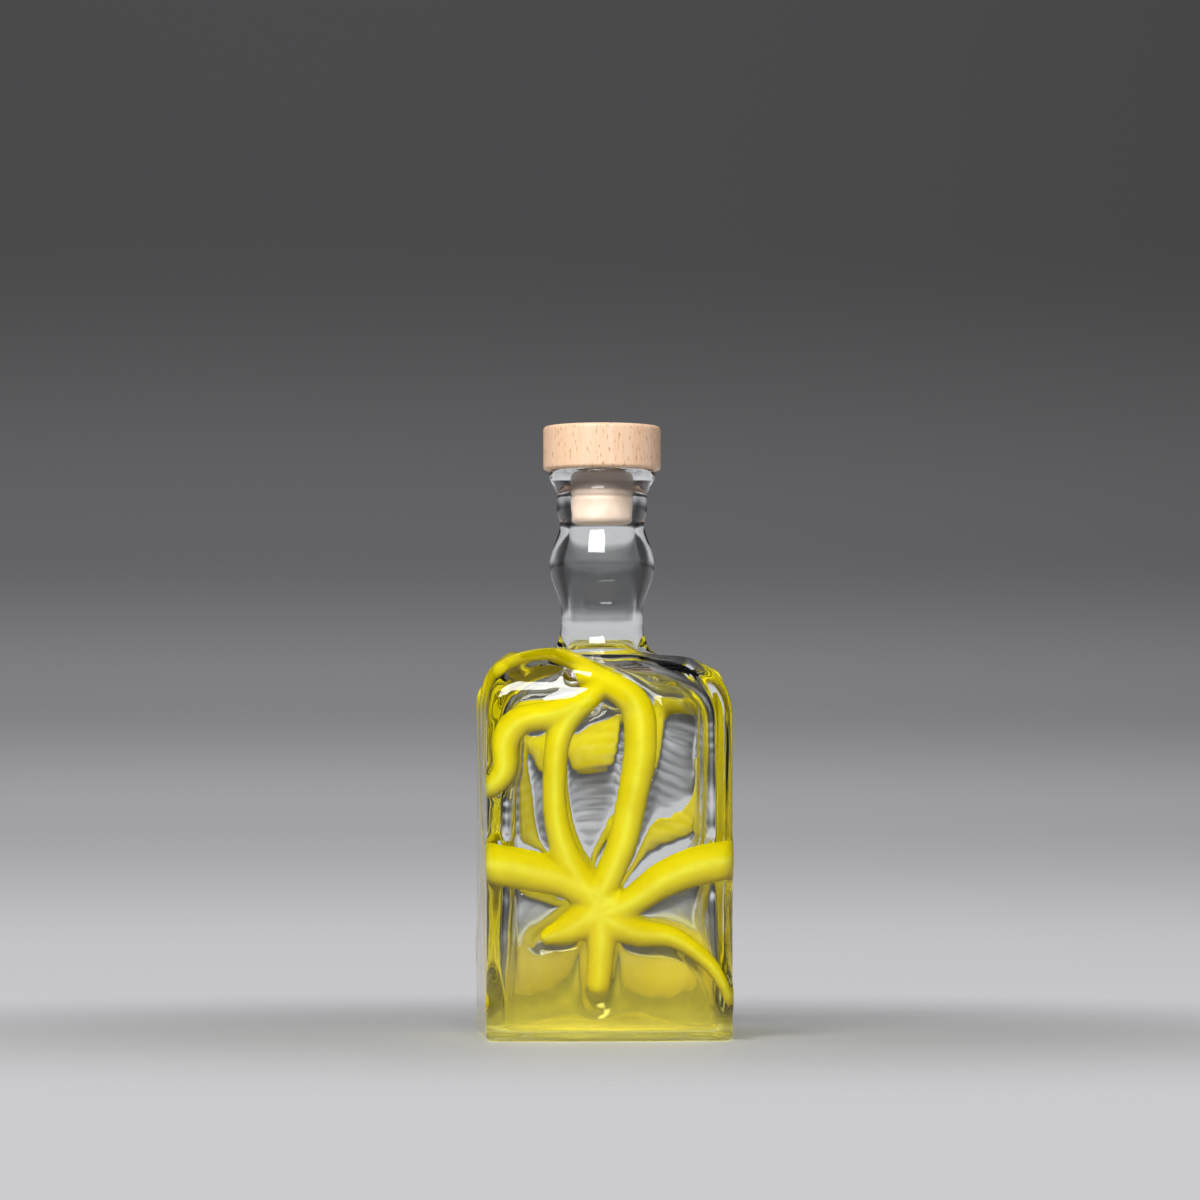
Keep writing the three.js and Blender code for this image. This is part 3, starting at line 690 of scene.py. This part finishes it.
def clearGlass():
    material, tree, shader = newMaterial("clearGlass", {
        "Base Color": clearFinish["tint"], "Transmission Weight": 1.0, "Roughness": 0.0, "IOR": 1.5})
    coords = addNode(tree, "ShaderNodeTexCoord")
    centred = addNode(tree, "ShaderNodeMapping",
                      values={"Location": [-value * mm for value in clearFinish["ringCentre"]]},
                      links={"Vector": coords.outputs["Object"]})
    rings = addNode(tree, "ShaderNodeTexWave", {"wave_type": "RINGS", "rings_direction": "SPHERICAL"}, {
        "Scale": clearFinish["ringFactor"] / (clearFinish["ringPitch"] * mm), "Distortion": 1.2,
        "Detail": 1.0, "Detail Scale": 0.6}, {"Vector": centred.outputs["Vector"]})
    patch = addNode(tree, "ShaderNodeTexNoise", values={"Scale": clearFinish["patchScale"], "Detail": 1.0},
                    links={"Vector": coords.outputs["Object"]})
    patchShare = addNode(tree, "ShaderNodeMapRange", values={
        "From Min": clearFinish["patchFrom"], "From Max": clearFinish["patchTo"]},
        links={"Value": patch.outputs["Fac"]})
    height = addNode(tree, "ShaderNodeSeparateXYZ", links={"Vector": coords.outputs["Object"]})
    low = addNode(tree, "ShaderNodeMapRange", values={
        "From Min": clearFinish["ringTop"] * mm, "From Max": clearFinish["ringFull"] * mm},
        links={"Value": height.outputs["Z"]})
    strength = mathNode(tree, "MULTIPLY", patchShare.outputs["Result"], low.outputs["Result"])
    within = addNode(tree, "ShaderNodeAttribute", {"attribute_name": "inside"})
    strength = mathNode(tree, "MULTIPLY", strength, within.outputs["Fac"])
    relief = mathNode(tree, "MULTIPLY", rings.outputs["Fac"], strength)
    bump = addNode(tree, "ShaderNodeBump", values={
        "Distance": clearFinish["ringDepth"] * mm, "Strength": 1.0}, links={"Height": relief})
    tree.links.new(bump.outputs["Normal"], shader.inputs["Normal"])
    ragged = mathNode(tree, "MULTIPLY_ADD", patch.outputs["Fac"], clearFinish["hazeRagged"] * mm)
    ragged.node.inputs[2].default_value = -clearFinish["hazeRagged"] * mm / 2
    wavy = mathNode(tree, "MULTIPLY", rings.outputs["Fac"], clearFinish["hazeRipple"] * mm)
    level = mathNode(tree, "ADD", mathNode(tree, "ADD", height.outputs["Z"], ragged), wavy)
    hazeShare = addNode(tree, "ShaderNodeMapRange", {"interpolation_type": "SMOOTHSTEP"}, {
        "From Min": clearFinish["hazeTop"] * mm, "From Max": clearFinish["hazeFoot"] * mm},
        {"Value": level})
    tint = addNode(tree, "ShaderNodeMix", {"data_type": "RGBA"},
                   {6: clearFinish["tint"], 7: clearFinish["haze"]}, {0: hazeShare.outputs["Result"]})
    tree.links.new(tint.outputs[2], shader.inputs["Base Color"])
    foot = addNode(tree, "ShaderNodeMapRange", values={
        "From Min": clearFinish["footTop"] * mm, "From Max": clearFinish["footFull"] * mm},
        links={"Value": height.outputs["Z"]})
    where = mathNode(tree, "MAXIMUM", within.outputs["Fac"], foot.outputs["Result"])
    clear = addNode(tree, "ShaderNodeMapRange", values={
        "To Min": 1.0, "To Max": 1 - clearFinish["hazeMilk"]},
        links={"Value": mathNode(tree, "MULTIPLY", hazeShare.outputs["Result"], where)})
    tree.links.new(clear.outputs["Result"], shader.inputs["Transmission Weight"])
    return material


def buildBottle(routes, core):
    rings, outside = bottleRings()
    directions = columnDirections()
    piece = ringSkin("bottle", rings, directions)
    columns = len(directions)
    count = len(piece.data.vertices)
    number = np.arange(count)
    heights = np.empty(count * 3, np.float32)
    piece.data.vertices.foreach_get("co", heights)
    heights = heights[2::3] / mm
    isOutside = number < 1 + (outside - 1) * columns
    body = smoothStep(heights, *skin["footFade"]) * (1 - smoothStep(heights, *skin["lipFade"]))
    bore = body * (1 - smoothStep(heights, *skin["boreFade"]))
    addAttribute(piece, "outside", "FLOAT", np.where(isOutside, body, 0))
    addAttribute(piece, "inside", "FLOAT", np.where(isOutside, 0, bore))
    useTree(piece, skinTree(), {
        "Routes": routes, "Trails": core, "Cover": trails["underSkin"] * mm, "Skirt": skin["skirt"],
        "Wall": skin["wall"] * mm, "Bulge": skin["bulge"] * mm, "Wave": skin["wave"] * mm,
        "Wave scale": skin["waveScale"], "Blur": skin["blur"], "Material": clearGlass()})
    makePlain(piece)
    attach(piece, "root")
    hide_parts("bottle_glass")
    piece.visible_shadow = False  # clear glass lets the lamp through to the trails and the floor
    print("bottle", len(piece.data.polygons), "faces")
    return piece


# Stopper: a turned knob and a moulded shank
stopper = {
    "foot": 187.3, "height": 14.5, "radius": 19.5, "roundTop": 1.3, "roundUnder": 1.0,
    "shankRadius": 10.3, "shankLength": 18.6, "shankRound": 3.2, "ringHeight": 178.3, "ringDepth": 0.5,
    "sides": 144,
}


def roundDirections(count):
    angle = np.arange(count) * 2 * math.pi / count
    return np.stack([np.sin(angle), -np.cos(angle)], -1)


def edgeArc(radius, height, size, first, last, steps=8):
    angles = np.linspace(first, last, steps + 1)
    return [(radius - size + size * math.cos(a), height + size * math.sin(a)) for a in angles]


beech = {
    "pale": (0.90, 0.64, 0.45, 1), "warm": (0.86, 0.54, 0.33, 1), "fleck": (0.50, 0.23, 0.09, 1),
    "grainScale": 420.0, "grainStretch": 0.07, "grainFrom": 0.35, "grainTo": 0.7,
    "fleckScale": 1500.0, "fleckStretch": 0.24, "fleckFrom": 0.61, "fleckTo": 0.72, "fleckShare": 0.75,
    "roughness": 0.5, "relief": 0.03,
}


def beechWood():
    material, tree, shader = newMaterial("beechWood", {"Roughness": beech["roughness"]})
    coords = addNode(tree, "ShaderNodeTexCoord")
    grainMap = addNode(tree, "ShaderNodeMapping", values={"Scale": (1, 1, beech["grainStretch"])},
                       links={"Vector": coords.outputs["Object"]})
    grain = addNode(tree, "ShaderNodeTexNoise", values={
        "Scale": beech["grainScale"], "Detail": 5.0, "Roughness": 0.6},
        links={"Vector": grainMap.outputs["Vector"]})
    grainShare = addNode(tree, "ShaderNodeMapRange", values={
        "From Min": beech["grainFrom"], "From Max": beech["grainTo"]}, links={"Value": grain.outputs["Fac"]})
    ground = addNode(tree, "ShaderNodeMix", {"data_type": "RGBA"}, {6: beech["pale"], 7: beech["warm"]},
                     {0: grainShare.outputs["Result"]})
    fleckMap = addNode(tree, "ShaderNodeMapping", values={"Scale": (1, 1, beech["fleckStretch"])},
                       links={"Vector": coords.outputs["Object"]})
    fleck = addNode(tree, "ShaderNodeTexNoise", values={"Scale": beech["fleckScale"], "Detail": 1.0},
                    links={"Vector": fleckMap.outputs["Vector"]})
    fleckShare = addNode(tree, "ShaderNodeMapRange", values={
        "From Min": beech["fleckFrom"], "From Max": beech["fleckTo"], "To Max": beech["fleckShare"]},
        links={"Value": fleck.outputs["Fac"]})
    tone = addNode(tree, "ShaderNodeMix", {"data_type": "RGBA"}, {7: beech["fleck"]},
                   {0: fleckShare.outputs["Result"], 6: ground.outputs[2]})
    tree.links.new(tone.outputs[2], shader.inputs["Base Color"])
    relief = mathNode(tree, "SUBTRACT", grain.outputs["Fac"], fleckShare.outputs["Result"])
    bump = addNode(tree, "ShaderNodeBump", values={"Distance": beech["relief"] * mm, "Strength": 0.6},
                   links={"Height": relief})
    tree.links.new(bump.outputs["Normal"], shader.inputs["Normal"])
    return material


def buildKnob():
    foot = stopper["foot"]
    top = foot + stopper["height"]
    radius = stopper["radius"]
    under, over = stopper["roundUnder"], stopper["roundTop"]
    line = [(0, foot)] + [(r, foot) for r in np.linspace(0, radius - under, 7)[1:-1]]
    line += edgeArc(radius, foot + under, under, -math.pi / 2, 0)
    line += [(radius, z) for z in np.linspace(foot + under, top - over, 13)[1:-1]]
    line += edgeArc(radius, top - over, over, 0, math.pi / 2)
    line += [(r, top) for r in np.linspace(radius - over, 0, 9)[1:]]
    piece = ringSkin("knob", [(r, r, z) for r, z in line], roundDirections(stopper["sides"]))
    piece.data.materials.append(beechWood())
    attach(piece, "root")
    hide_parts("beech_knob")
    print("knob", len(piece.data.polygons), "faces")
    return piece


cork = {
    "pale": (0.65, 0.50, 0.40, 1), "warm": (0.58, 0.43, 0.32, 1), "shade": (0.36, 0.28, 0.23, 1),
    "shadeFrom": 180.6, "shadeTo": 181.6, "cloudScale": 380.0, "cloudFrom": 0.45, "cloudTo": 0.75,
    "roughness": 0.5, "relief": 0.04,
}


def mouldedCork():
    material, tree, shader = newMaterial("mouldedCork", {"Roughness": cork["roughness"]})
    coords = addNode(tree, "ShaderNodeTexCoord")
    cloud = addNode(tree, "ShaderNodeTexNoise", values={"Scale": cork["cloudScale"], "Detail": 4.0},
                    links={"Vector": coords.outputs["Object"]})
    share = addNode(tree, "ShaderNodeMapRange", values={
        "From Min": cork["cloudFrom"], "From Max": cork["cloudTo"]}, links={"Value": cloud.outputs["Fac"]})
    tone = addNode(tree, "ShaderNodeMix", {"data_type": "RGBA"}, {6: cork["pale"], 7: cork["warm"]},
                   {0: share.outputs["Result"]})
    height = addNode(tree, "ShaderNodeSeparateXYZ", links={"Vector": coords.outputs["Object"]})
    # painted shade: above 180.6 mm the shank turns to the shade colour, where it lies in the shadow of the
    # knob and the lip
    upper = addNode(tree, "ShaderNodeMapRange", values={
        "From Min": cork["shadeFrom"] * mm, "From Max": cork["shadeTo"] * mm},
        links={"Value": height.outputs["Z"]})
    whole = addNode(tree, "ShaderNodeMix", {"data_type": "RGBA"}, {7: cork["shade"]},
                    {0: upper.outputs["Result"], 6: tone.outputs[2]})
    tree.links.new(whole.outputs[2], shader.inputs["Base Color"])
    bump = addNode(tree, "ShaderNodeBump", values={"Distance": cork["relief"] * mm, "Strength": 0.5},
                   links={"Height": cloud.outputs["Fac"]})
    tree.links.new(bump.outputs["Normal"], shader.inputs["Normal"])
    return material


def buildShank():
    top = stopper["foot"]
    bottom = top - stopper["shankLength"]
    radius = stopper["shankRadius"]
    size = stopper["shankRound"]
    ring, depth = stopper["ringHeight"], stopper["ringDepth"]
    line = [(0, bottom)] + [(r, bottom) for r in np.linspace(0, radius - size, 5)[1:-1]]
    line += edgeArc(radius, bottom + size, size, -math.pi / 2, 0)
    for z in np.linspace(bottom + size, top, 30)[1:]:
        dip = depth * math.exp(-((z - ring) / 0.5) ** 2)
        line.append((radius - dip, z))
    line += [(r, top) for r in np.linspace(radius, 0, 5)[1:]]
    piece = ringSkin("shank", [(r, r, z) for r, z in line], roundDirections(96))
    piece.data.materials.append(mouldedCork())
    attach(piece, "root")
    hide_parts("cork_shank")
    print("shank", len(piece.data.polygons), "faces")
    return piece


# Studio: floor, light, backdrop and camera, in metres
studio = {
    "floorRadius": 0.45, "floorTone": 0.5, "fadeFrom": 0.08, "fadeTo": 0.42,
    "keyPlace": (-0.283, -0.823, 0.98), "keySize": (0.72, 0.46), "keyPower": 18.0,
    "aim": (0, 0, 0.1),
    "tones": [(-0.05, 0.60), (-0.03, 0.56), (0.0, 0.36), (0.024, 0.22), (0.056, 0.125), (0.12, 0.07),
              (0.45, 0.08), (0.8, 0.3)],
    "cool": 1.04, "darkSides": 0.15, "sidesFrom": -0.04, "sidesTo": 0.02,
}
shot = {
    "distance": 1.6, "azimuth": -4.0, "height": 0.0728, "rise": 2.556, "lens": 144.9, "sensor": 36.0,
    "aside": 0.00066,
}


def buildFloor():
    sides = 96
    directions = roundDirections(sides)
    rim = directions * studio["floorRadius"]
    points = [(0, 0, 0)] + [(x, y, 0) for x, y in rim]
    faces = [(0, 1 + i, 1 + (i + 1) % sides) for i in range(sides)]
    floor = newPiece("floor", points, faces=faces)
    tone = studio["floorTone"]
    material, tree, shader = newMaterial("paleFloor", {
        "Base Color": (tone, tone, tone, 1), "Roughness": 0.6})
    coords = addNode(tree, "ShaderNodeTexCoord")
    away = vectorNode(tree, "LENGTH", coords.outputs["Object"])
    fade = addNode(tree, "ShaderNodeMapRange", {"interpolation_type": "SMOOTHSTEP"}, {
        "From Min": studio["fadeFrom"], "From Max": studio["fadeTo"], "To Min": 1.0, "To Max": 0.0},
        {"Value": away})
    tree.links.new(fade.outputs["Result"], shader.inputs["Alpha"])
    floor.data.materials.append(material)


def addLight(name, place, size, power):
    light = bpy.data.lights.new(name, "AREA")
    light.shape = "RECTANGLE"
    light.size, light.size_y = size
    light.energy = power
    lamp = bpy.data.objects.new(name, light)
    lamp.location = place
    lamp.rotation_euler = (Vector(studio["aim"]) - Vector(place)).to_track_quat("-Z", "Y").to_euler()
    bpy.context.scene.collection.objects.link(lamp)


# Backdrop: pale low down, dark higher up, and darker between the four sides
def buildBackdrop():
    world = bpy.data.worlds.new("backdrop")
    world.use_nodes = True
    bpy.context.scene.world = world
    tree = world.node_tree
    coords = addNode(tree, "ShaderNodeTexCoord")
    parts = addNode(tree, "ShaderNodeSeparateXYZ", links={"Vector": coords.outputs["Generated"]})
    tones = studio["tones"]
    low, high = tones[0][0], tones[-1][0]
    share = addNode(tree, "ShaderNodeMapRange", values={"From Min": low, "From Max": high},
                    links={"Value": parts.outputs["Z"]})
    ramp = addNode(tree, "ShaderNodeValToRGB", links={"Fac": share.outputs["Result"]})
    ramp.color_ramp.interpolation = "EASE"
    setRamp(ramp.color_ramp, [
        ((height - low) / (high - low), (tone, tone, tone * studio["cool"], 1)) for height, tone in tones])
    xx = mathNode(tree, "POWER", parts.outputs["X"], 2.0)
    yy = mathNode(tree, "POWER", parts.outputs["Y"], 2.0)
    lobe = mathNode(tree, "DIVIDE", mathNode(tree, "SUBTRACT", xx, yy),
                    mathNode(tree, "MAXIMUM", mathNode(tree, "ADD", xx, yy), 0.0001))
    lobe = mathNode(tree, "POWER", mathNode(tree, "ABSOLUTE", lobe), 2.0)
    side = addNode(tree, "ShaderNodeMapRange", values={"To Min": studio["darkSides"]},
                   links={"Value": lobe})
    above = addNode(tree, "ShaderNodeMapRange", values={
        "From Min": studio["sidesFrom"], "From Max": studio["sidesTo"]}, links={"Value": parts.outputs["Z"]})
    shade = addNode(tree, "ShaderNodeMix", {"data_type": "FLOAT"}, {2: 1.0}, {
        0: above.outputs["Result"], 3: side.outputs["Result"]})
    back = tree.nodes["Background"]
    tree.links.new(ramp.outputs["Color"], back.inputs["Color"])
    tree.links.new(shade.outputs[0], back.inputs["Strength"])


def buildCamera():
    angle = math.radians(shot["azimuth"])
    lens = bpy.data.cameras.new("camera")
    lens.lens = shot["lens"]
    lens.sensor_width = shot["sensor"]
    camera = bpy.data.objects.new("camera", lens)
    away = shot["distance"]
    camera.location = (math.sin(angle) * away, -math.cos(angle) * away, shot["height"])
    turn = angle + math.atan(shot["aside"] / shot["distance"])
    camera.rotation_euler = (math.radians(90 + shot["rise"]), 0, turn)
    bpy.context.scene.collection.objects.link(camera)
    bpy.context.scene.camera = camera


buildFloor()
addLight("key", studio["keyPlace"], studio["keySize"], studio["keyPower"])
buildBackdrop()
buildCamera()
scene = bpy.context.scene
scene.view_settings.view_transform = "Standard"
bounces = 32  # light crosses many walls of glass
scene.cycles.max_bounces = bounces
scene.cycles.transmission_bounces = bounces
scene.cycles.transparent_max_bounces = bounces
scene.cycles.use_denoising = True
print("studio ready")

flatRoutes, routes = trailPaths()
yellowTrails = buildTrails(flatRoutes, routes)
buildBottle(routes, yellowTrails)
bpy.data.objects.remove(flatRoutes)
bpy.data.objects.remove(routes)
buildKnob()
buildShank()
